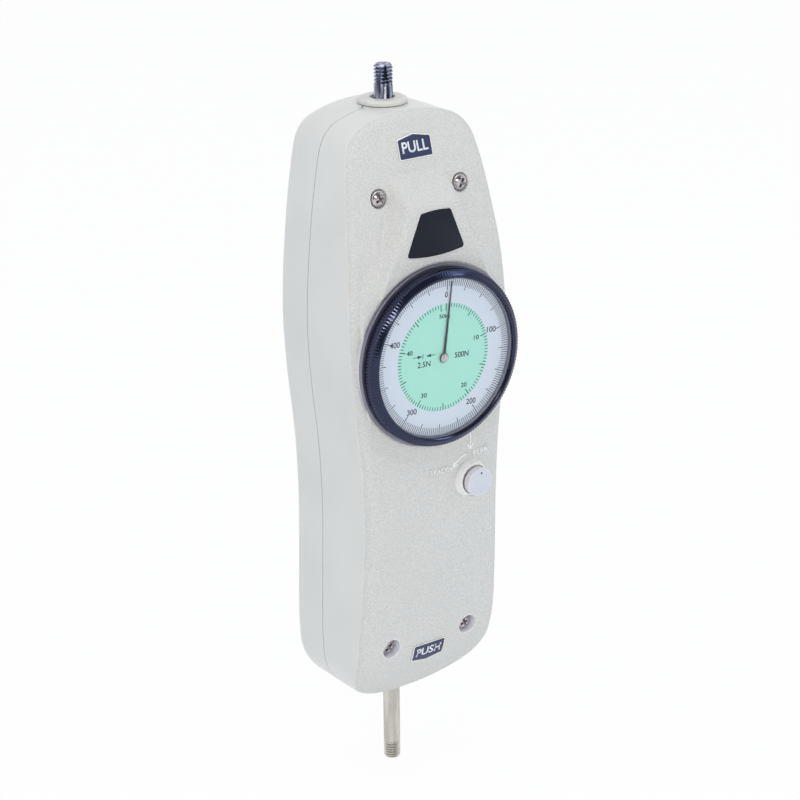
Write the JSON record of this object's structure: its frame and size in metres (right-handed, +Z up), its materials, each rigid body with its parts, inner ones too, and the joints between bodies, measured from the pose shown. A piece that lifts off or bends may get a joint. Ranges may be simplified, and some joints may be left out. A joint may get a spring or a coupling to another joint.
{
  "type": "dial force gauge",
  "caption": "Hand-held push and pull force gauge: moulded case, sliding measuring shaft with rod ends, turning dial with a pointer, and a peak or track knob.",
  "frame": {"origin": "centre of the push rod's end face, on the measuring shaft's axis", "axes": "+Z up along the measuring shaft from the push end to the pull end; -Y to the front, where the dial is; +X to the right as seen from the front"},
  "size_m": [0.0648, 0.0545, 0.2575],
  "materials": {
    "case_plastic": "pale grey-white moulding, fine leather grain on the front, smooth semi-gloss sides",
    "guide_plastic": "smooth pale moulding",
    "knob_plastic": "pale blue-grey semi-gloss with a fine knurl on the skirt",
    "black_anodised": "black anodised, finely knurled",
    "grey_anodised": "dark grey anodised",
    "dial_white": "matt pale blue-white with printed scales",
    "crystal_clear": "clear acrylic window",
    "pointer_black": "satin black",
    "badge_navy": "very dark navy plate, bare",
    "plate_slate": "slate blue plate with a pale border and a direction word",
    "chrome": "bright chrome plate",
    "satin_steel": "satin turned steel",
    "plated_steel": "zinc plated steel",
    "spring_steel": "oiled spring steel",
    "screw_steel": "bright plated cross-head screw",
    "aluminium": "machined aluminium",
    "brass": "machined brass"
  },
  "bodies": {
    "case": {"front_case": "case_plastic", "rear_case": "case_plastic", "top_bushing": "guide_plastic", "bottom_bushing": "guide_plastic", "case_screw_1": "screw_steel", "case_screw_2": "screw_steel", "case_screw_3": "screw_steel", "case_screw_4": "screw_steel", "chassis_plate": "plated_steel", "chassis_screw_1": "screw_steel", "chassis_screw_2": "screw_steel", "chassis_screw_3": "screw_steel", "chassis_screw_4": "screw_steel", "lower_guide_block": "aluminium", "lower_block_screw": "screw_steel", "upper_guide_block": "aluminium", "upper_block_screw": "screw_steel", "guide_rail": "plated_steel", "mount_insert_1": "brass", "mount_insert_2": "brass", "mount_insert_3": "brass", "mount_insert_4": "brass", "movement_frame": "aluminium", "transfer_bush_rear": "brass", "transfer_bush_front": "brass", "pointer_bush_rear": "brass", "pointer_bush_front": "brass", "lever_pin": "plated_steel", "dial_body": "grey_anodised", "badge": "badge_navy", "pull_plate": "plate_slate", "push_plate": "plate_slate", "main_spring": "spring_steel", "knob_spring": "spring_steel", "hairspring": "spring_steel"},
    "measuring_shaft": {"push_rod": "satin_steel", "pull_shaft": "chrome", "carriage_block": "aluminium", "spring_collar": "plated_steel", "stop_collar": "plated_steel", "rack": "plated_steel"},
    "transfer_group": {"transfer_arbor": "plated_steel", "rack_pinion": "brass", "transfer_gear": "brass"},
    "pointer_group": {"pointer_arbor": "plated_steel", "pointer_pinion": "brass", "ratchet_wheel": "plated_steel", "pointer": "pointer_black", "pointer_cap": "chrome"},
    "dial_group": {"bezel_ring": "black_anodised", "crystal": "crystal_clear", "dial_spacer": "black_anodised", "dial_plate": "dial_white"},
    "knob_sleeve": {"knob_cam": "plated_steel"},
    "knob": {"knob_cap": "knob_plastic", "knob_shaft": "plated_steel"},
    "lever": {"peak_lever": "plated_steel"}
  },
  "joints": [
    {"name": "shaft_slide", "type": "slide", "parent": "case", "child": "measuring_shaft", "axis": [0, 0, 1], "range_m": [0, 0.01], "stiffness_N_per_m": 50000, "deforming": ["main_spring"]},
    {"name": "transfer_turn", "type": "hinge", "parent": "case", "child": "transfer_group", "pos_m": [-0.009, 0, 0.15648], "axis": [0, 1, 0], "range_deg": [-116, 0]},
    {"name": "pointer_turn", "type": "hinge", "parent": "case", "child": "pointer_group", "pos_m": [0, 0, 0.1638], "axis": [0, 1, 0], "range_deg": [0, 362]},
    {"name": "dial_turn", "type": "hinge", "parent": "case", "child": "dial_group", "pos_m": [0, 0, 0.1638], "axis": [0, 1, 0], "continuous": true},
    {"name": "knob_turn", "type": "hinge", "parent": "case", "child": "knob_sleeve", "pos_m": [0.0149, 0, 0.1154], "axis": [0, 1, 0], "range_deg": [-60, 0]},
    {"name": "knob_press", "type": "slide", "parent": "knob_sleeve", "child": "knob", "axis": [0, 1, 0], "range_m": [0, 0.0018], "stiffness_N_per_m": 2000, "deforming": ["knob_spring"]},
    {"name": "lever_swing", "type": "hinge", "parent": "case", "child": "lever", "pos_m": [0.0126, 0, 0.1485], "axis": [0, 1, 0], "range_deg": [0, 1.7]}
  ],
  "couplings": [
    {"joint": "transfer_turn", "follows": "shaft_slide", "rad_per_m": -200},
    {"joint": "pointer_turn", "follows": "shaft_slide", "rad_per_m": 628.57},
    {"joint": "lever_swing", "follows": "knob_turn", "ratio": -0.026}
  ]
}
